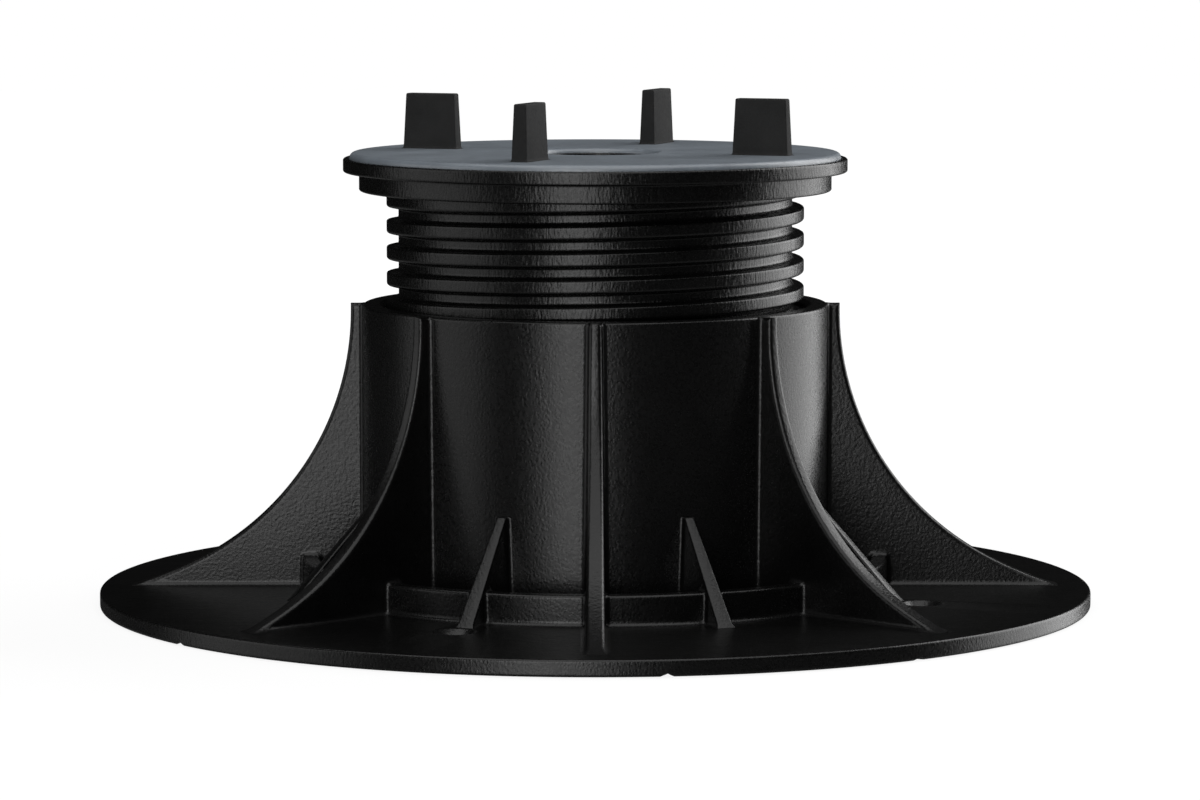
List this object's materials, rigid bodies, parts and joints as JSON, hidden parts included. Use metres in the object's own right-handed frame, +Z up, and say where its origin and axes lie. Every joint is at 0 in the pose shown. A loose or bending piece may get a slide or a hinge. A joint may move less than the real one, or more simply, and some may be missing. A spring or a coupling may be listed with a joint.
{
  "type": "decking pedestal",
  "caption": "Screw-jack support for raised paving or decking: ribbed round base with threaded collar, hollow screw, swivelling head with spacer lugs and soft pad.",
  "frame": {"origin": "centre of the base's underside", "axes": "+Z up along the screw's axis, -Y towards the rib that faces the viewer"},
  "size_m": [0.2, 0.2, 0.1022],
  "materials": {
    "black_plastic": "satin moulded",
    "soft_pad": "soft matt"
  },
  "bodies": {
    "foot": {"base": "black_plastic"},
    "carrier": {"head": "black_plastic", "pad": "soft_pad"},
    "jack": {"screw": "black_plastic"}
  },
  "joints": [
    {"name": "lift", "type": "slide", "parent": "foot", "child": "carrier", "axis": [0, 0, 1], "range_m": [-0.0225, 0.018]},
    {"name": "turn", "type": "hinge", "parent": "carrier", "child": "jack", "pos_m": [0, 0, 0.06], "axis": [0, 0, 1], "range_deg": [-1543.9, 1235.3]}
  ],
  "couplings": [
    {"joint": "turn", "follows": "lift", "rad_per_m": 1196.8}
  ]
}
